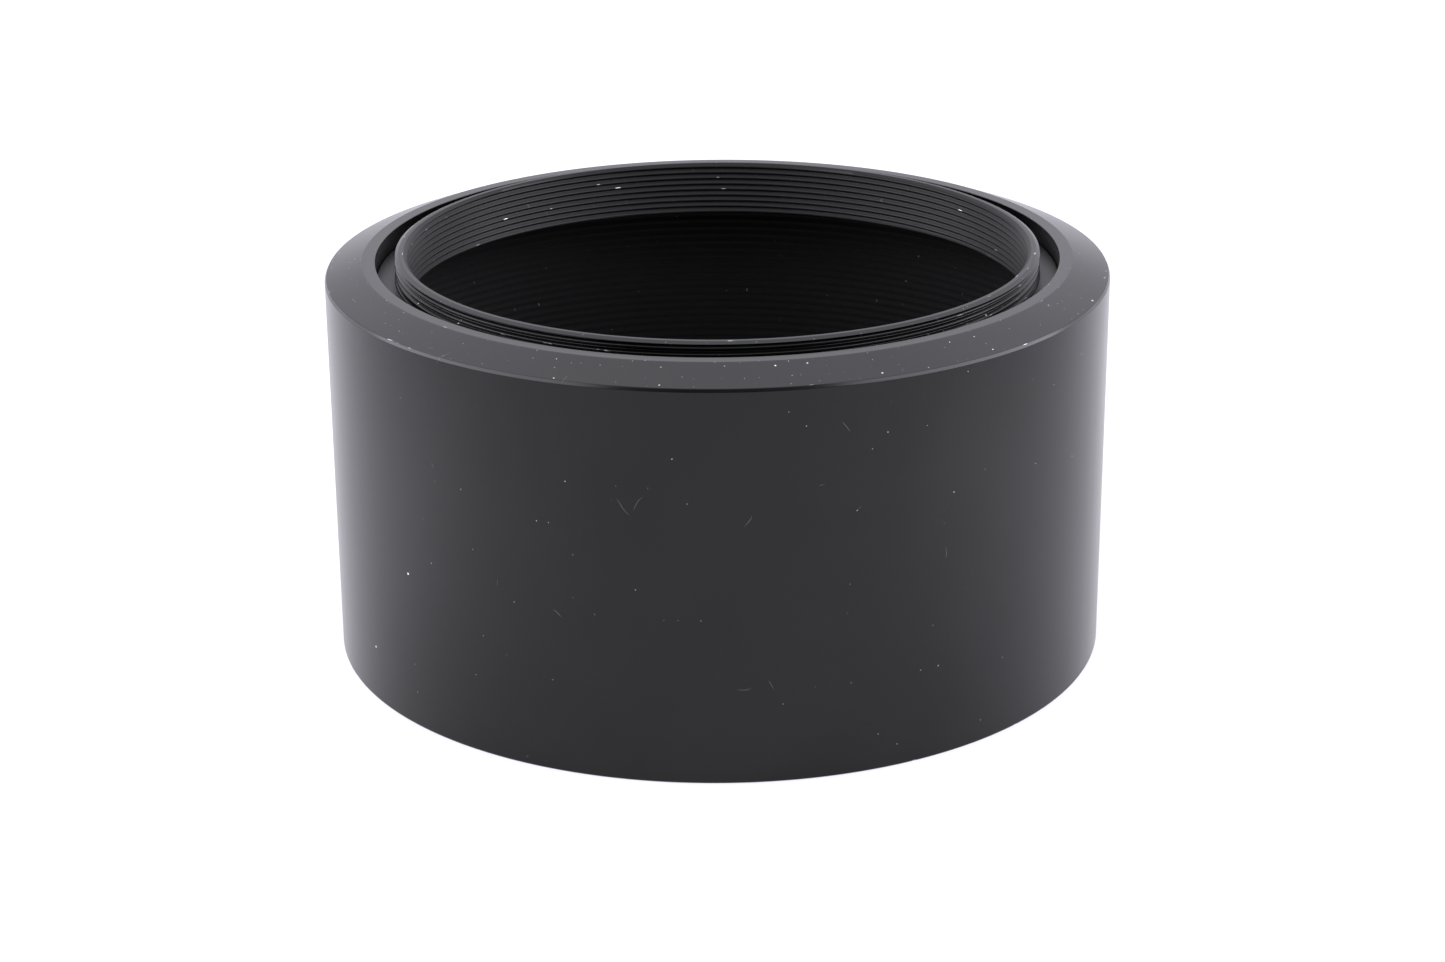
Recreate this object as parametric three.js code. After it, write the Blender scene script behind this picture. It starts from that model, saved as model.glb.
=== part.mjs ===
// A screw-in metal lens hood for a 77 mm filter thread, standing on its front rim.
// Three turned rings share one axis: the outer barrel with its bevelled rear face, the mount
// ring that screws into the barrel's rear seat, and the matt black liner inside the barrel.
// Millimetres. +Z runs along the optical axis, from the front mouth at z = 0 towards the lens.

import * as THREE from 'three';

// Barrel: outside.
const BARREL_RADIUS = 46.8;
const WALL_TOP = 46.16; // where the straight wall would meet the bevel
const RIM_HEIGHT = 47.83; // the flat rear rim
const BEVEL_WIDTH = 4.46;
const WALL_BREAK = 0.29; // the chamfer on that corner takes this much off the wall
const BEVEL_BREAK = 0.195; // and this much off the bevel
const FRONT_BREAK = 0.25; // chamfers on both corners of the front rim

// Barrel: inside.
const BARREL_WALL = 1.3;
const SEAT_RADIUS = 40.78; // bore that takes the mount ring, and the outer wall of the moat
const SEAT_HEIGHT = 42.6; // top of the shoulder that the mount ring is screwed down to
const SHOULDER_THICKNESS = 1.0;
const SHOULDER_RADIUS = 38.95;
const RIM_BREAK = 0.12;

// Mount ring: overall.
const RING_HEIGHT = 48.72; // rear edge of the threaded neck, the highest point of the hood
const RING_FOOT = 42.2; // front edge of the ring, hanging inside the shoulder
const RING_SKIRT_RADIUS = 38.6; // outside of the skirt below the flange
const MOAT_FLOOR = 45.5; // rear face of the flange, the bottom of the moat
const FIT_GAP = 0.3; // between pieces that touch when assembled
const RING_BREAK = 0.2;

// Threads and grooves of the mount ring.
const PITCH = 0.75;
const THREAD_MAJOR = 38.45; // 77 mm male filter thread on the neck
const THREAD_MINOR = 38.07;
const THREAD_LOWEST_CREST = 46.35;
const THREAD_TURNS = 3;
const NECK_LAND_RADIUS = 38.5; // plain band between the moat's floor and the thread
const NECK_LAND_HEIGHT = 0.25;
const SEAT_THREAD_MAJOR = 40.45; // the flange's own thread, which holds the ring in the barrel
const SEAT_THREAD_MINOR = 40.05;
const SEAT_THREAD_LOWEST_CREST = 43.42;
const SEAT_THREAD_TURNS = 3;
const BORE_CREST = 37.0; // anti-reflection grooves in the ring's bore
const BORE_ROOT = 37.35;
const BORE_HIGHEST_CREST = 48.32;
const BORE_GROOVES = 8;

// The neck's rear edge: a narrow flat between the bore's chamfer and a shallow lead-in slope.
const LIP_BORE = 37.41;
const LIP_FLAT_RADIUS = 37.87;
const LIP_CORNER_HEIGHT = 48.46;

// Liner.
const LINER_WALL = 0.9;
const LINER_FRONT = 1.2; // how far the liner sits back from the front rim
const LINER_BREAK = 0.2;

const SEGMENTS = 72;

const boreRadius = BARREL_RADIUS - BARREL_WALL;
const collarFoot = SEAT_HEIGHT - SHOULDER_THICKNESS;

// A closed outline of [radius, height] points, listed counter-clockwise: up the outside,
// in along the top, down the inside and back out along the bottom.
function turnedRing(name, outline, finish) {
  const points = [...outline, outline[0]].map(([radius, height]) => new THREE.Vector2(radius, height));
  const geometry = new THREE.LatheGeometry(points, SEGMENTS);
  geometry.rotateX(Math.PI / 2);
  const mesh = new THREE.Mesh(geometry, new THREE.MeshStandardMaterial(finish));
  mesh.name = name;
  return mesh;
}

// The ridges of a thread or grooving: points that step half a pitch at a time along the axis,
// up (direction 1) or down (direction -1), and swing between the two radii.
function ridges(firstRadius, secondRadius, start, direction, turns) {
  const points = [];
  for (let turn = 0; turn < turns; turn += 1) {
    const height = start + direction * turn * PITCH;
    points.push([firstRadius, height]);
    points.push([secondRadius, height + direction * PITCH / 2]);
  }
  return points;
}

function barrelOutline() {
  const bevelInner = BARREL_RADIUS - BEVEL_WIDTH;
  const slope = Math.atan2(RIM_HEIGHT - WALL_TOP, BEVEL_WIDTH);
  const outside = [
    [BARREL_RADIUS - FRONT_BREAK, 0],
    [BARREL_RADIUS, FRONT_BREAK],
    [BARREL_RADIUS, WALL_TOP - WALL_BREAK],
    [BARREL_RADIUS - BEVEL_BREAK * Math.cos(slope), WALL_TOP + BEVEL_BREAK * Math.sin(slope)],
    [bevelInner, RIM_HEIGHT],
  ];
  const seat = [
    [SEAT_RADIUS + RIM_BREAK, RIM_HEIGHT],
    [SEAT_RADIUS, RIM_HEIGHT - RIM_BREAK],
    [SEAT_RADIUS, SEAT_HEIGHT],
    [SHOULDER_RADIUS, SEAT_HEIGHT],
    [SHOULDER_RADIUS, collarFoot],
  ];
  const bore = [
    [boreRadius, collarFoot],
    [boreRadius, FRONT_BREAK],
    [boreRadius + FRONT_BREAK, 0],
  ];
  return [...outside, ...seat, ...bore];
}

function mountRingOutline() {
  const flangeFoot = SEAT_HEIGHT + FIT_GAP;
  const skirt = [
    [RING_SKIRT_RADIUS - RING_BREAK, RING_FOOT],
    [RING_SKIRT_RADIUS, RING_FOOT + RING_BREAK],
    [RING_SKIRT_RADIUS, flangeFoot],
  ];
  const flange = [
    [SEAT_THREAD_MINOR, flangeFoot],
    ...ridges(SEAT_THREAD_MAJOR, SEAT_THREAD_MINOR, SEAT_THREAD_LOWEST_CREST, 1, SEAT_THREAD_TURNS),
    [SEAT_THREAD_MINOR - RING_BREAK, MOAT_FLOOR],
  ];
  const neck = [
    [NECK_LAND_RADIUS, MOAT_FLOOR],
    [NECK_LAND_RADIUS, MOAT_FLOOR + NECK_LAND_HEIGHT],
    [THREAD_MINOR, THREAD_LOWEST_CREST - PITCH / 2],
    ...ridges(THREAD_MAJOR, THREAD_MINOR, THREAD_LOWEST_CREST, 1, THREAD_TURNS),
    [THREAD_MAJOR, LIP_CORNER_HEIGHT],
    [LIP_FLAT_RADIUS, RING_HEIGHT],
  ];
  const lowestCrest = BORE_HIGHEST_CREST - BORE_GROOVES * PITCH;
  const bore = [
    [LIP_BORE, RING_HEIGHT],
    ...ridges(BORE_CREST, BORE_ROOT, BORE_HIGHEST_CREST, -1, BORE_GROOVES),
    [BORE_CREST, lowestCrest],
    [BORE_CREST + lowestCrest - RING_FOOT, RING_FOOT],
  ];
  return [...skirt, ...flange, ...neck, ...bore];
}

function linerOutline() {
  const outer = boreRadius - FIT_GAP;
  const inner = outer - LINER_WALL;
  const rear = collarFoot - FIT_GAP;
  return [
    [outer - LINER_BREAK, LINER_FRONT],
    [outer, LINER_FRONT + LINER_BREAK],
    [outer, rear],
    [inner, rear],
    [inner, LINER_FRONT + LINER_BREAK],
    [inner + LINER_BREAK, LINER_FRONT],
  ];
}

const hood = new THREE.Group();
hood.name = 'lens_hood';

const anodised = { color: 0x1b1b1d, roughness: 0.45, metalness: 0.3 };
const mattBlack = { color: 0x0c0c0c, roughness: 0.9, metalness: 0.0 };

hood.add(turnedRing('hood_barrel', barrelOutline(), anodised));
hood.add(turnedRing('mount_ring', mountRingOutline(), anodised));
hood.add(turnedRing('baffle_liner', linerOutline(), mattBlack));

export default hood;
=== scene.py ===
"""The looks of a screw-in metal lens hood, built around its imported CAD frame.

Three turned rings replace the three CAD nodes. Each is a lathed outline with rounded corners,
and its threads and grooves run as true right-hand helices. Outlines are in millimetres.
"""

import math

import bmesh
import bpy
from mathutils import Matrix, Vector


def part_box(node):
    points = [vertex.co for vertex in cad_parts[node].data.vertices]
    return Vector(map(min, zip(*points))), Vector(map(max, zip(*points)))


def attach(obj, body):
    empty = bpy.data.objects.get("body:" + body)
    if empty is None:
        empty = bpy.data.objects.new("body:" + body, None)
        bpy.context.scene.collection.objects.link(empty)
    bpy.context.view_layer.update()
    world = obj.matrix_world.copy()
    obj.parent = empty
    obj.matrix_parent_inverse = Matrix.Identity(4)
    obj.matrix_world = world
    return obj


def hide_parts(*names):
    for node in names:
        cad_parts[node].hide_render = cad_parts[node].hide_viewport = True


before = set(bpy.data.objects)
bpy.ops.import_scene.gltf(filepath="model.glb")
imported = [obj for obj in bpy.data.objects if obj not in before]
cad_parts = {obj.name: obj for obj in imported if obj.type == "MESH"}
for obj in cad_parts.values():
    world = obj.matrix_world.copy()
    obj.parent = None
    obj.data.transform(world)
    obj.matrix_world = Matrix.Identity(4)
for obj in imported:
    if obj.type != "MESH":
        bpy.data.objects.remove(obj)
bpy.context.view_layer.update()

MM = 0.001
FRONT = math.radians(270)  # the side that faces the camera
BACK = math.radians(90)

# ---------------------------------------------------------------- sizes, in millimetres

def node_size(node):
    """Outer radius, lowest height and highest height of a CAD node."""
    low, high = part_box(node)
    return high.x / MM, low.z / MM, high.z / MM


BARREL_RADIUS, BARREL_FOOT, RIM_HEIGHT = node_size("hood_barrel")
FLANGE_RADIUS, RING_FOOT, RING_HEIGHT = node_size("mount_ring")
LINER_RADIUS, LINER_FRONT, LINER_REAR = node_size("baffle_liner")

FIT_GAP = 0.3  # between pieces that touch when assembled
PITCH = 0.75  # of every thread, and of the grooves in the mount ring's bore

# Barrel.
WALL_TOP = 46.16  # where the straight wall would meet the bevel
BEVEL_WIDTH = 4.46
WALL_BREAK = 0.29  # the chamfer on that corner takes this much off the wall
BEVEL_BREAK = 0.195  # and this much off the bevel
BARREL_BORE = LINER_RADIUS + FIT_GAP
SEAT_RADIUS = 40.78  # bore that takes the mount ring, and the outer wall of the moat
SEAT_HEIGHT = 42.6
SEAT_THREAD_DEPTH = 0.32
SHOULDER_RADIUS = 38.95
SHOULDER_THICKNESS = 1.0

# Mount ring.
MOAT_FLOOR = 45.5  # rear face of the flange
FLANGE_FOOT = SEAT_HEIGHT + FIT_GAP
FLANGE_ROOT = 40.05
FLANGE_LAND = SEAT_RADIUS - 0.08  # the flange's rear corner all but fills the seat
SKIRT_RADIUS = 38.6
NECK_MAJOR = 38.45
NECK_MINOR = 38.07
NECK_LAND_RADIUS = 38.5  # plain band between the moat's floor and the neck's thread
NECK_LAND_HEIGHT = 0.25
LIP_CORNER = 48.46  # where the lip's lead-in slope starts
LIP_FLAT = 37.87
LIP_BORE = 37.41
BORE_CREST = 37.0
BORE_ROOT = 37.35

# Liner.
LINER_CREST = LINER_RADIUS - 0.9
LINER_ROOT = LINER_CREST + 0.3
LINER_BREAK = 0.2
RIB_PITCH = 1.0

# Heights of one crest of each helix, at the front for the neck and at the back for the others.
NECK_CREST_HEIGHT = 48.02
SEAT_CREST_HEIGHT = 44.0
BORE_CREST_HEIGHT = 42.32
RIB_CREST_HEIGHT = 30.0

METAL_SEGMENTS = 384
LINER_SEGMENTS = 256

# ---------------------------------------------------------------- lathe

# An outline's points are (radius, height, wear), where wear is 1 on an edge that wears and 0 elsewhere.
EDGE = Vector((0, 0, 1))
NO_EDGE = Vector((0, 0, 0))
WORN_SWELL = 0.9  # a ridge wears above this share of its height

CORNER_STEPS = 4
SUPPORT = 0.06  # a ring this close to a corner keeps the flat beside it flat when it is shaded smooth
WELD_DISTANCE = 0.0005
SHARP_ANGLE = math.radians(50)

# A ridge across one pitch: (share of the pitch from the crest, height from root 0 to crest 1).
THREAD_FORM = [
    (0.0, 1.0), (0.04, 0.99), (0.07, 0.965), (0.1, 0.91), (0.14, 0.81),
    (0.37, 0.12), (0.4, 0.04), (0.44, 0.0), (0.5, 0.0), (0.56, 0.0), (0.6, 0.04), (0.63, 0.12),
    (0.86, 0.81), (0.9, 0.91), (0.93, 0.965), (0.96, 0.99),
]
GROOVE_FORM = [
    (0.0, 1.0), (0.05, 0.95), (0.11, 0.84), (0.42, 0.1), (0.5, 0.0),
    (0.58, 0.1), (0.89, 0.84), (0.95, 0.95),
]


def rounded(corners):
    """A smooth path through (radius, height, rounding) corners, as one lathe section.

    The first and last corners stay sharp, because the neighbouring sections carry on from them.
    """
    path = []
    for i, (radius, height, rounding) in enumerate(corners):
        here = Vector((radius, height, 0))
        if rounding == 0 or i in (0, len(corners) - 1):
            path.append(here)
            continue
        to_last = Vector((*corners[i - 1][:2], 0)) - here
        to_next = Vector((*corners[i + 1][:2], 0)) - here
        start = here + to_last.normalized() * rounding
        end = here + to_next.normalized() * rounding
        if to_last.length > 2 * (rounding + SUPPORT):
            path.append(start + to_last.normalized() * SUPPORT)
        for step in range(CORNER_STEPS + 1):
            t = step / CORNER_STEPS
            bend = start.lerp(here, t).lerp(here.lerp(end, t), t)
            path.append(bend + EDGE)
        if to_next.length > 2 * (rounding + SUPPORT):
            path.append(end + to_next.normalized() * SUPPORT)
    return {"columns": lambda angle: path, "shift": 0}


def ridge_height(form, phase):
    """Height of a form at any phase, by straight lines between its knots."""
    phase %= 1.0
    knots = form + [(1.0, form[0][1])]
    for (u0, h0), (u1, h1) in zip(knots, knots[1:]):
        if u0 <= phase <= u1:
            return h0 + (h1 - h0) * (phase - u0) / (u1 - u0)


def helix(low, high, root, crest, pitch, form, crest_height, crest_angle, upward=True):
    """A lathe section between two heights whose ridges climb one pitch in each turn.

    One crest is at crest_height where the angle is crest_angle. The section runs up or down its outline.
    """
    def reference(angle):
        return crest_height + pitch * (angle - crest_angle) / math.tau

    first = math.floor((low - reference(0)) / pitch) - 1
    last = math.ceil((high - reference(0)) / pitch)

    def columns(angle):
        points = []
        for turn in range(first, last):
            for share, _ in form:
                height = reference(angle) + (turn + share) * pitch
                height = min(max(height, low), high)
                swell = ridge_height(form, (height - reference(angle)) / pitch)
                radius = root + (crest - root) * swell
                wear = EDGE if swell > WORN_SWELL else NO_EDGE
                points.append(Vector((radius, height, 0)) + wear)
        return points if upward else points[::-1]

    return {"columns": columns, "shift": len(form) if upward else -len(form)}


def lathe(name, sections, segments):
    """One closed turned body from sections that run counter-clockwise round its outline."""
    vertices = []
    edges = []
    for i in range(segments):
        angle = math.tau * i / segments
        count = 0
        spans = []
        for section in sections:
            points = section["columns"](angle)
            spans.append((count, len(points), section["shift"]))
            count += len(points)
            for point in points:
                radius = point.x * MM
                vertices.append((radius * math.cos(angle), radius * math.sin(angle), point.y * MM))
                edges.append(point.z)

    across = list(range(count))  # where each point of the last column meets the first column
    for start, length, shift in spans:
        for q in range(length):
            across[start + q] = start + min(max(q + shift, 0), length - 1)

    faces = []
    for i in range(segments):
        here = i * count
        there = (i + 1) % segments * count
        seam = i == segments - 1
        for q in range(count):
            n = (q + 1) % count
            q_there, n_there = (across[q], across[n]) if seam else (q, n)
            corners = dict.fromkeys((here + q, there + q_there, there + n_there, here + n))
            if len(corners) > 2:
                faces.append(tuple(corners))

    mesh = bpy.data.meshes.new(name)
    mesh.from_pydata(vertices, [], faces)
    mesh.attributes.new("edge", "FLOAT", "POINT").data.foreach_set("value", edges)
    work = bmesh.new()
    work.from_mesh(mesh)
    bmesh.ops.remove_doubles(work, verts=work.verts, dist=MM * WELD_DISTANCE)
    open_edges = sum(not edge.is_manifold for edge in work.edges)
    if open_edges:
        raise ValueError(f"{name} has {open_edges} open or crossing edges")
    work.to_mesh(mesh)
    work.free()
    mesh.shade_smooth()
    mesh.set_sharp_from_angle(angle=SHARP_ANGLE)
    piece = bpy.data.objects.new(name, mesh)
    bpy.context.scene.collection.objects.link(piece)
    return piece


# ---------------------------------------------------------------- the three turned pieces

def make_barrel():
    """The outer tube: wall, bevel, rear rim, threaded seat, shoulder and bore."""
    bevel_inner = BARREL_RADIUS - BEVEL_WIDTH
    slope = math.atan2(RIM_HEIGHT - WALL_TOP, BEVEL_WIDTH)
    bevel_foot_radius = BARREL_RADIUS - BEVEL_BREAK * math.cos(slope)
    bevel_foot_height = WALL_TOP + BEVEL_BREAK * math.sin(slope)
    collar_foot = SEAT_HEIGHT - SHOULDER_THICKNESS
    thread_low = SEAT_HEIGHT + 0.2
    thread_high = MOAT_FLOOR - 0.35
    outside = rounded([
        (BARREL_BORE + 0.2, BARREL_FOOT, 0),
        (BARREL_RADIUS, BARREL_FOOT, 0.22),
        (BARREL_RADIUS, WALL_TOP - WALL_BREAK, 0.04),
        (bevel_foot_radius, bevel_foot_height, 0.04),
        (bevel_inner, RIM_HEIGHT, 0.08),
        (SEAT_RADIUS, RIM_HEIGHT, 0.1),
        (SEAT_RADIUS, thread_high, 0),
    ])
    thread = helix(
        thread_low, thread_high, SEAT_RADIUS + SEAT_THREAD_DEPTH, SEAT_RADIUS, PITCH, THREAD_FORM,
        SEAT_CREST_HEIGHT, BACK, upward=False,
    )
    inside = rounded([
        (SEAT_RADIUS, thread_low, 0),
        (SEAT_RADIUS, SEAT_HEIGHT, 0.05),
        (SHOULDER_RADIUS, SEAT_HEIGHT, 0.1),
        (SHOULDER_RADIUS, collar_foot, 0.15),
        (BARREL_BORE, collar_foot, 0.25),
        (BARREL_BORE, BARREL_FOOT, 0.2),
        (BARREL_BORE + 0.2, BARREL_FOOT, 0),
    ])
    return lathe("barrel_shell", [outside, thread, inside], METAL_SEGMENTS)


def make_mount_ring():
    """The ring that screws into the barrel: skirt, threaded flange, moat floor, threaded neck and bore."""
    flange_thread_low = FLANGE_FOOT + 0.15
    flange_thread_high = MOAT_FLOOR - 0.5
    neck_thread_low = MOAT_FLOOR + 0.45
    grooves_low = RING_FOOT + 0.12
    grooves_high = RING_HEIGHT - 0.38
    skirt = rounded([
        (BORE_CREST + 0.12, RING_FOOT, 0),
        (SKIRT_RADIUS, RING_FOOT, 0.15),
        (SKIRT_RADIUS, FLANGE_FOOT, 0.05),
        (FLANGE_ROOT, FLANGE_FOOT, 0.1),
        (FLANGE_ROOT, flange_thread_low, 0),
    ])
    flange_thread = helix(
        flange_thread_low, flange_thread_high, FLANGE_ROOT, FLANGE_RADIUS, PITCH, THREAD_FORM,
        SEAT_CREST_HEIGHT, BACK,
    )
    moat = rounded([
        (FLANGE_ROOT, MOAT_FLOOR - 0.45, 0),
        (FLANGE_LAND, MOAT_FLOOR - 0.3, 0.05),
        (FLANGE_LAND, MOAT_FLOOR, 0.08),
        (NECK_LAND_RADIUS, MOAT_FLOOR, 0.08),
        (NECK_LAND_RADIUS, MOAT_FLOOR + NECK_LAND_HEIGHT, 0.05),
        (NECK_MINOR, MOAT_FLOOR + NECK_LAND_HEIGHT + 0.15, 0),
    ])
    neck_thread = helix(
        neck_thread_low, LIP_CORNER, NECK_MINOR, NECK_MAJOR, PITCH, THREAD_FORM,
        NECK_CREST_HEIGHT, FRONT,
    )
    lip = rounded([
        (NECK_MAJOR - 0.06, LIP_CORNER + 0.02, 0),
        (LIP_FLAT, RING_HEIGHT, 0.08),
        (LIP_BORE, RING_HEIGHT, 0.08),
        (BORE_CREST + 0.05, RING_HEIGHT - 0.34, 0),
    ])
    bore = helix(
        grooves_low, grooves_high, BORE_ROOT, BORE_CREST, PITCH, GROOVE_FORM,
        BORE_CREST_HEIGHT, BACK, upward=False,
    )
    sections = [skirt, flange_thread, moat, neck_thread, lip, bore]
    return lathe("mount_ring_body", sections, METAL_SEGMENTS)


def make_liner():
    """The sleeve inside the barrel, ribbed all the way along its inside."""
    ribs_low = LINER_FRONT + 0.5
    ribs_high = LINER_REAR - 0.2
    outside = rounded([
        (LINER_CREST + 0.3, LINER_FRONT, 0),
        (LINER_RADIUS, LINER_FRONT, 0.15),
        (LINER_RADIUS, LINER_REAR, 0.1),
        (LINER_ROOT, LINER_REAR, 0),
    ])
    ribs = helix(
        ribs_low, ribs_high, LINER_ROOT, LINER_CREST, RIB_PITCH, GROOVE_FORM,
        RIB_CREST_HEIGHT, BACK, upward=False,
    )
    front = rounded([
        (LINER_CREST + 0.1, LINER_FRONT + LINER_BREAK, 0),
        (LINER_CREST + 0.3, LINER_FRONT, 0),
    ])
    return lathe("baffle_liner_sleeve", [outside, ribs, front], LINER_SEGMENTS)


# ---------------------------------------------------------------- materials

DUST = (0.55, 0.54, 0.53, 1)
BARE_METAL = (0.62, 0.62, 0.64, 1)
DEEP_BLACK = (0.0003, 0.0003, 0.0003, 1)
GREENISH_BLACK = (0.0015, 0.0019, 0.0012, 1)
VIOLET_BLACK = (0.0017, 0.0014, 0.0019, 1)
LINER_BLACK = (0.0035, 0.0036, 0.0035, 1)
LINER_BLOOM = (0.006, 0.0062, 0.006, 1)

# Roughness of the metal where it is smoothest and dullest, and of its duller places.
SATIN = (0.19, 0.25)
LIP_ROUGHNESS = 0.36
MATTED_ROUGHNESS = 0.42  # in the ring's bore and in the moat
DUST_ROUGHNESS = 0.9
LINER_ROUGHNESS = 0.85

LINT_TURNS = (0.6, 1.4, 2.4)  # directions of the lint hairs on the plan of the surface, in radians
HAIR_OPACITY = 0.17
FINE_GRAIN_OPACITY = 0.55
BORE_DUST = 0.1  # how strongly dust shows in the ring's bore, against 1 on the outside
LINER_DUST = 0.4


class Finish:
    """A Principled material and the few node shorthands that the finishes share. Lengths are in mm."""

    def __init__(self, name, ior):
        self.material = bpy.data.materials.new(name)
        self.material.use_nodes = True
        self.tree = self.material.node_tree
        self.shader = self.tree.nodes["Principled BSDF"]
        self.shader.inputs["IOR"].default_value = ior
        coordinates = self.tree.nodes.new("ShaderNodeTexCoord")
        self.facing = coordinates.outputs["Normal"]
        self.place = self.vector("MULTIPLY", coordinates.outputs["Object"], (1 / MM,) * 3)
        self.unroll()

    def unroll(self):
        """Plans of the surface: around it and along its outline (sheet), and the outline alone."""
        self.radius = self.vector("LENGTH", self.vector("MULTIPLY", self.place, (1, 1, 0)))
        x, y, self.height = self.parts(self.place)
        angle = self.maths("ARCTAN2", x, self.maths("MULTIPLY", y, -1.0))
        around = self.maths("MULTIPLY", angle, BARREL_RADIUS)
        along = self.maths("SUBTRACT", self.height, self.radius)
        self.sheet = self.join(around, along, 0)
        self.outline = self.join(self.radius, self.height, 0)

    # Node shorthands. Each takes sockets or plain values and gives the new node's output socket.

    def feed(self, socket, value):
        if isinstance(value, bpy.types.NodeSocket):
            self.tree.links.new(value, socket)
        else:
            socket.default_value = value

    def maths(self, operation, *values):
        node = self.tree.nodes.new("ShaderNodeMath")
        node.operation = operation
        for socket, value in zip(node.inputs, values):
            self.feed(socket, value)
        return node.outputs[0]

    def vector(self, operation, *values):
        node = self.tree.nodes.new("ShaderNodeVectorMath")
        node.operation = operation
        for socket, value in zip(node.inputs, values):
            self.feed(socket, value)
        return node.outputs["Value" if operation == "LENGTH" else "Vector"]

    def parts(self, vector):
        """The three numbers of a vector or colour."""
        node = self.tree.nodes.new("ShaderNodeSeparateXYZ")
        self.feed(node.inputs[0], vector)
        return node.outputs

    def join(self, *numbers):
        node = self.tree.nodes.new("ShaderNodeCombineXYZ")
        for socket, number in zip(node.inputs, numbers):
            self.feed(socket, number)
        return node.outputs[0]

    def noise_node(self, size, detail, place):
        node = self.tree.nodes.new("ShaderNodeTexNoise")
        self.feed(node.inputs["Vector"], place)
        node.inputs["Scale"].default_value = 1 / size
        node.inputs["Detail"].default_value = detail
        return node

    def noise(self, size, detail=2.0, place=None):
        """Noise from 0 to 1 whose blotches are about size millimetres across."""
        return self.noise_node(size, detail, place or self.place).outputs["Fac"]

    def shaken(self, place, size, reach):
        """A plan with each coordinate shifted by 0 to reach millimetres, in waves of size millimetres."""
        wave = self.noise_node(size, 0.0, self.place).outputs["Color"]
        return self.vector("ADD", place, self.vector("MULTIPLY", wave, (reach,) * 3))

    def ramp(self, value, low, high):
        """0 at low and 1 at high, with a smooth step between them. Low may be the larger."""
        node = self.tree.nodes.new("ShaderNodeMapRange")
        node.interpolation_type = "SMOOTHSTEP"
        for socket, number in zip(node.inputs, (value, low, high)):
            self.feed(socket, number)
        return node.outputs[0]

    def mix(self, share, first, second):
        """A colour from first at share 0 to second at share 1."""
        node = self.tree.nodes.new("ShaderNodeMix")
        node.data_type = "RGBA"
        self.feed(node.inputs[0], share)
        self.feed(node.inputs[6], first)
        self.feed(node.inputs[7], second)
        return node.outputs[2]

    def blend(self, share, first, second):
        """A number from first at share 0 to second at share 1."""
        node = self.tree.nodes.new("ShaderNodeMix")
        self.feed(node.inputs[0], share)
        self.feed(node.inputs[2], first)
        self.feed(node.inputs[3], second)
        return node.outputs[0]

    # What lies on the surface.

    def cells(self, spacing, place):
        """Random cells of a plan: distance from the nearest centre, and two random numbers of the cell."""
        node = self.tree.nodes.new("ShaderNodeTexVoronoi")
        node.voronoi_dimensions = "2D"
        self.feed(node.inputs["Vector"], place)
        node.inputs["Scale"].default_value = 1 / spacing
        first, second, _ = self.parts(node.outputs["Color"])
        return self.maths("MULTIPLY", node.outputs["Distance"], spacing), first, second

    def specks(self, place, spacing, radius, share):
        """Grains up to radius millimetres, at a share of the cells of a plan, each of its own size."""
        distance, size, chance = self.cells(spacing, place)
        reach = self.maths("MULTIPLY", self.blend(size, 0.35, 1.0), radius)
        inside = self.ramp(self.maths("DIVIDE", distance, reach), 1.0, 0.5)
        return self.maths("MULTIPLY", inside, self.maths("LESS_THAN", chance, share))

    def hairs(self, place, turn, stretch, spacing, radius, share):
        """Fibres: grains of a plan drawn out along the direction that turn gives."""
        mapping = self.tree.nodes.new("ShaderNodeMapping")
        mapping.vector_type = "TEXTURE"
        self.feed(mapping.inputs["Vector"], place)
        mapping.inputs["Rotation"].default_value = (0, 0, turn)
        mapping.inputs["Scale"].default_value = (stretch, 1, 1)
        return self.specks(mapping.outputs[0], spacing, radius, share)

    def dust(self):
        """Loose grains and lint hairs, many where the surface faces up and few on the walls."""
        ragged = self.shaken(self.sheet, size=0.12, reach=0.12)
        warped = self.shaken(self.sheet, size=2.6, reach=1.8)
        upward = self.parts(self.facing)[2]
        settled = self.ramp(upward, 0.1, 0.8)
        coarse = self.specks(ragged, spacing=4.0, radius=0.19, share=self.blend(settled, 0.014, 0.17))
        fine = self.specks(ragged, spacing=1.7, radius=0.08, share=self.blend(settled, 0.06, 0.32))
        dust = self.maths("MAXIMUM", coarse, self.maths("MULTIPLY", fine, FINE_GRAIN_OPACITY))
        for turn in LINT_TURNS:
            share = self.blend(settled, 0.12, 0.14)
            hair = self.hairs(warped, turn, stretch=30, spacing=1.6, radius=0.038, share=share)
            dust = self.maths("MAXIMUM", dust, self.maths("MULTIPLY", hair, HAIR_OPACITY))
        return dust

    def relief(self, height, depth):
        """Bump that rises depth millimetres as height goes from 0 to 1."""
        node = self.tree.nodes.new("ShaderNodeBump")
        node.inputs["Distance"].default_value = depth * MM
        self.feed(node.inputs["Height"], height)
        self.feed(self.shader.inputs["Normal"], node.outputs[0])


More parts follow.
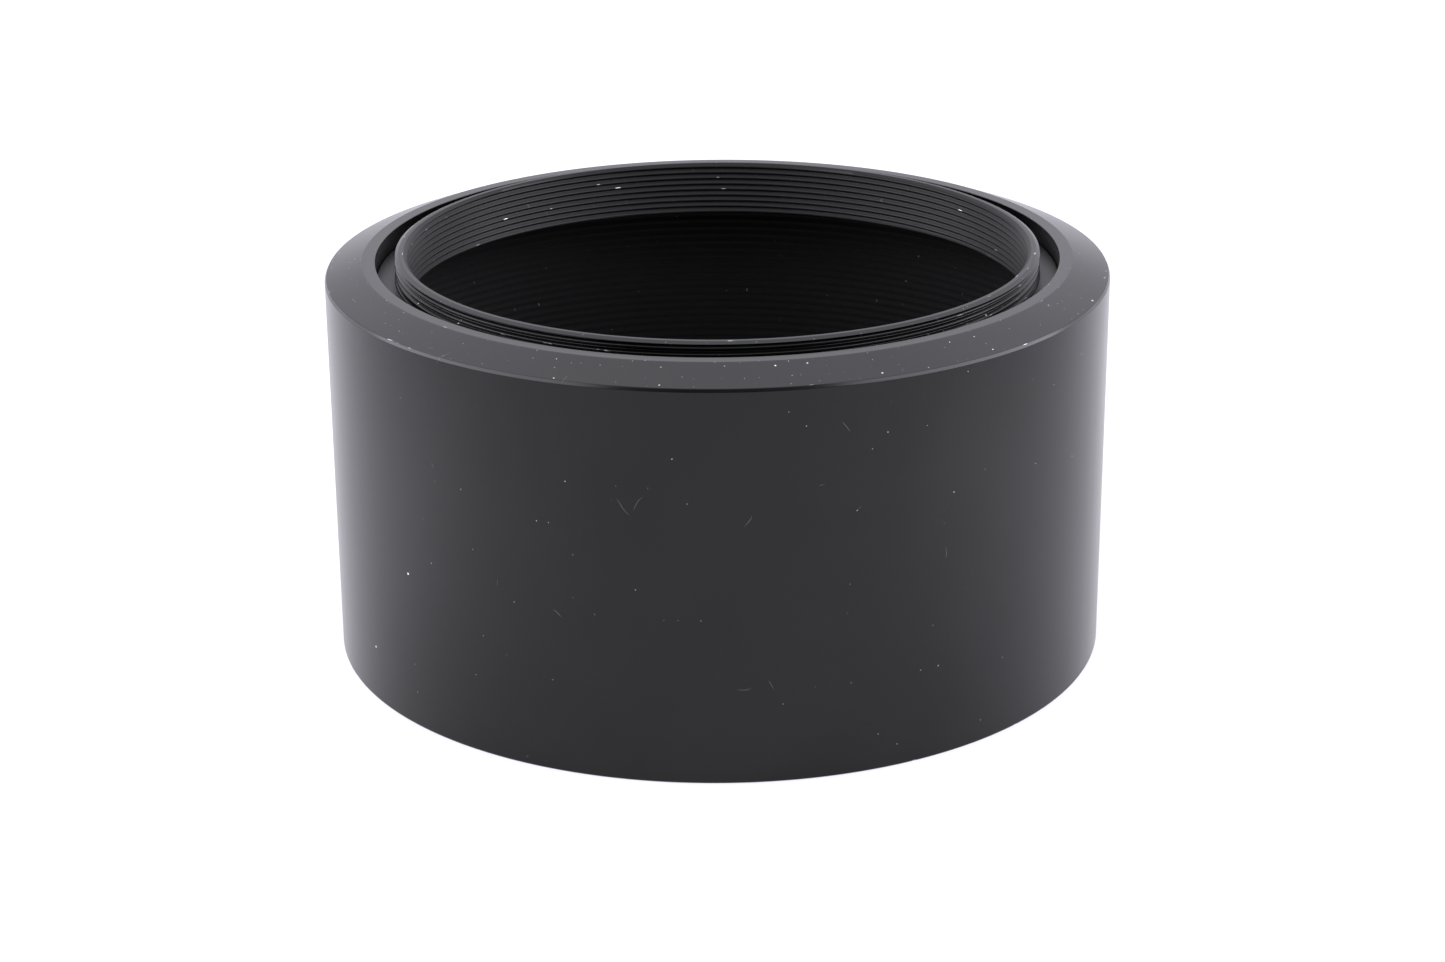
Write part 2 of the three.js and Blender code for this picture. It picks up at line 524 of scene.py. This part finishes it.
def anodised():
    """Satin black anodised aluminium: turned, blasted, dusty, and rubbed bare at a few sharp edges."""
    finish = Finish("satin_black_anodise", ior=1.365)
    shader = finish.shader.inputs
    blotches = finish.noise(size=14, detail=4)

    # Where the finish is duller than on the outside.
    lip = finish.ramp(finish.radius, LIP_FLAT + 0.3, LIP_FLAT)
    bore = finish.ramp(finish.radius, BORE_ROOT + 0.2, BORE_ROOT)
    below_rim = finish.ramp(finish.height, RIM_HEIGHT - 0.5, MOAT_FLOOR + 0.3)
    inside_seat = finish.ramp(finish.radius, SEAT_RADIUS + 0.4, SEAT_RADIUS + 0.1)
    moat = finish.maths("MULTIPLY", below_rim, inside_seat)

    dust = finish.maths("MULTIPLY", finish.dust(), finish.blend(bore, 1.0, BORE_DUST))

    # Wear: short chips along the rounded edges and the thread crests.
    edge = finish.tree.nodes.new("ShaderNodeAttribute")
    edge.attribute_name = "edge"
    along_edges = finish.vector("MULTIPLY", finish.sheet, (0.14, 1, 1))
    chips = finish.ramp(finish.noise(size=0.5, place=along_edges), 0.68, 0.74)
    wear = finish.maths("MULTIPLY", edge.outputs["Fac"], chips)
    finish.feed(shader["Metallic"], wear)

    # Colour: faint clouds of two tints on black, then the wear, then the dust.
    hues = finish.ramp(finish.noise(size=22), 0.4, 0.6)
    tint = finish.mix(hues, GREENISH_BLACK, VIOLET_BLACK)
    clouds = finish.ramp(blotches, 0.36, 0.62)
    worn = finish.mix(wear, finish.mix(clouds, DEEP_BLACK, tint), BARE_METAL)
    finish.feed(shader["Base Color"], finish.mix(dust, worn, DUST))

    satin = finish.blend(blotches, *SATIN)
    softened = finish.blend(lip, satin, LIP_ROUGHNESS)
    matted = finish.blend(finish.maths("MAXIMUM", bore, moat), softened, MATTED_ROUGHNESS)
    finish.feed(shader["Roughness"], finish.blend(dust, matted, DUST_ROUGHNESS))

    # Relief: fine turning marks round the axis, the blasted grain, and the dust.
    turning = finish.maths("MULTIPLY", finish.noise(size=0.12, place=finish.outline), 0.35)
    grain = finish.maths("MULTIPLY", finish.noise(size=0.09, detail=1), 0.2)
    height = finish.maths("ADD", turning, grain)
    finish.relief(finish.maths("ADD", height, dust), depth=0.006)
    return finish.material


def matt_black():
    """Flat black of the liner: hardly any gloss, a greyer bloom in patches, and faint dust."""
    finish = Finish("matt_black_finish", ior=1.25)
    bloom = finish.noise(size=9, detail=4)
    dust = finish.maths("MULTIPLY", finish.dust(), LINER_DUST)
    black = finish.mix(bloom, LINER_BLACK, LINER_BLOOM)
    finish.feed(finish.shader.inputs["Base Color"], finish.mix(dust, black, DUST))
    finish.shader.inputs["Roughness"].default_value = LINER_ROUGHNESS
    finish.relief(finish.noise(size=0.15), depth=0.012)
    return finish.material


# ---------------------------------------------------------------- stage

# Lengths are in metres from here on.
STUDIO_WHITE = (0.985, 0.975, 1.07)  # the studio's light is very slightly blue

FLOOR_HALF = 3.0
FLOOR_GREY = (0.42, 0.42, 0.42, 1)
FLOOR_GLOW = 0.41  # the table shines a little by itself, so it stays white beside the hood

# The tent's radiance against the cosine of the angle from its axis.
TENT_LEVELS = (
    (0.05, 0.12), (0.24, 2.1), (0.40, 2.1), (0.57, 1.1), (0.75, 0.98), (0.90, 1.68), (0.999, 2.25),
)
TENT_SCALE = 2.3  # divides the levels, so that the ramp's colours stay below 1
TENT_LEAN = math.radians(55)  # how steeply the tent's axis rises behind the hood

SOFTBOX_SIZE = (1.2, 0.55)
SOFTBOX_DISTANCE = 0.9
SOFTBOX_ELEVATION = math.radians(28)

WASH_SIZE = (0.04, 0.04)
WASH_HEIGHT = 0.08

LENS = 76.54  # the focal length and the sensor's width are in millimetres
SENSOR_WIDTH = 36
CAMERA_PLACE = (-0.00159, -0.35396, 0.15180)
CAMERA_PITCH = math.radians(20.673)  # downwards
CAMERA_YAW = math.radians(0.330)  # to the right
CAMERA_ROLL = math.radians(0.372)


def make_floor():
    """A plain white table that reflects no gloss."""
    mesh = bpy.data.meshes.new("floor")
    corners = [(x * FLOOR_HALF, y * FLOOR_HALF, 0) for x, y in ((-1, -1), (1, -1), (1, 1), (-1, 1))]
    mesh.from_pydata(corners, [], [(0, 1, 2, 3)])
    floor = bpy.data.objects.new("floor", mesh)
    bpy.context.scene.collection.objects.link(floor)
    material = bpy.data.materials.new("white_table")
    material.use_nodes = True
    shader = material.node_tree.nodes["Principled BSDF"].inputs
    shader["Base Color"].default_value = FLOOR_GREY
    shader["Emission Color"].default_value = (*STUDIO_WHITE, 1)
    shader["Emission Strength"].default_value = FLOOR_GLOW
    shader["Roughness"].default_value = 0.9
    shader["Specular IOR Level"].default_value = 0.0
    mesh.materials.append(material)


def area_lamp(name, place, size, radiance):
    """A rectangular lamp, facing down, with the given radiance all over. The camera can't see it."""
    light = bpy.data.lights.new(name, "AREA")
    light.shape = "RECTANGLE"
    light.size, light.size_y = size
    light.energy = math.pi * light.size * light.size_y * radiance
    light.color = STUDIO_WHITE
    lamp = bpy.data.objects.new(name, light)
    lamp.location = place
    lamp.visible_camera = False
    bpy.context.scene.collection.objects.link(lamp)
    return lamp


def softbox(name, azimuth, radiance):
    """A large lamp that faces the hood from an azimuth in degrees, counter-clockwise from +X."""
    turn = math.radians(azimuth)
    rise = SOFTBOX_ELEVATION
    towards = Vector((math.cos(rise) * math.cos(turn), math.cos(rise) * math.sin(turn), math.sin(rise)))
    lamp = area_lamp(name, SOFTBOX_DISTANCE * towards, SOFTBOX_SIZE, radiance)
    lamp.rotation_euler = towards.to_track_quat("Z", "Y").to_euler()


def floor_wash(name, x, y, radiance):
    """A small lamp close above the table, to brighten it beside the hood. Gloss doesn't show the lamp."""
    lamp = area_lamp(name, (x, y, WASH_HEIGHT), WASH_SIZE, radiance)
    lamp.visible_glossy = False


def make_tent():
    """A light tent whose axis rises behind the hood.

    It is bright along the axis, dimmer in a ring round it, bright again further out, and dark on the
    camera's low side.
    """
    world = bpy.data.worlds.new("light_tent")
    bpy.context.scene.world = world
    world.use_nodes = True
    tree = world.node_tree
    sky = tree.nodes.new("ShaderNodeTexCoord")
    towards = tree.nodes.new("ShaderNodeVectorMath")
    towards.operation = "DOT_PRODUCT"
    towards.inputs[1].default_value = (0, math.cos(TENT_LEAN), math.sin(TENT_LEAN))
    tree.links.new(sky.outputs["Generated"], towards.inputs[0])
    ramp = tree.nodes.new("ShaderNodeValToRGB")
    tree.links.new(towards.outputs["Value"], ramp.inputs[0])
    levels = ramp.color_ramp.elements
    for position, radiance in TENT_LEVELS:
        stop = levels.new(position)
        stop.color = (*(radiance / TENT_SCALE for _ in "rgb"), 1)
    levels.remove(levels[0])
    levels.remove(levels[-1])
    tint = tree.nodes.new("ShaderNodeVectorMath")
    tint.operation = "MULTIPLY"
    tint.inputs[1].default_value = STUDIO_WHITE
    tree.links.new(ramp.outputs[0], tint.inputs[0])
    background = tree.nodes["Background"]
    tree.links.new(tint.outputs[0], background.inputs["Color"])
    background.inputs["Strength"].default_value = TENT_SCALE


def make_lights():
    bpy.context.scene.view_settings.view_transform = "Standard"
    make_tent()
    softbox("left_softbox", azimuth=194, radiance=3.9)
    softbox("right_softbox", azimuth=-14, radiance=4.4)
    floor_wash("left_wash", x=-0.12, y=-0.035, radiance=20)
    floor_wash("right_wash", x=0.115, y=-0.06, radiance=16)


def make_camera():
    data = bpy.data.cameras.new("camera")
    data.sensor_fit = "HORIZONTAL"
    data.sensor_width = SENSOR_WIDTH
    data.lens = LENS
    data.clip_start = 0.01
    camera = bpy.data.objects.new("camera", data)
    yaw = Matrix.Rotation(-CAMERA_YAW, 4, "Z")
    pitch = Matrix.Rotation(math.pi / 2 - CAMERA_PITCH, 4, "X")
    roll = Matrix.Rotation(-CAMERA_ROLL, 4, "Z")
    turn = yaw @ pitch @ roll
    camera.matrix_world = Matrix.Translation(CAMERA_PLACE) @ turn
    bpy.context.scene.collection.objects.link(camera)
    bpy.context.scene.camera = camera


# ---------------------------------------------------------------- assembly

make_camera()
make_floor()
make_lights()

satin = anodised()
matt = matt_black()

for piece, node, body, material, slot in (
    (make_barrel(), "hood_barrel", "barrel", satin, "black_anodised"),
    (make_mount_ring(), "mount_ring", "mount", satin, "black_anodised"),
    (make_liner(), "baffle_liner", "barrel", matt, "matt_black"),
):
    piece.data.materials.append(material)
    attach(piece, body)
    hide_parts(node)
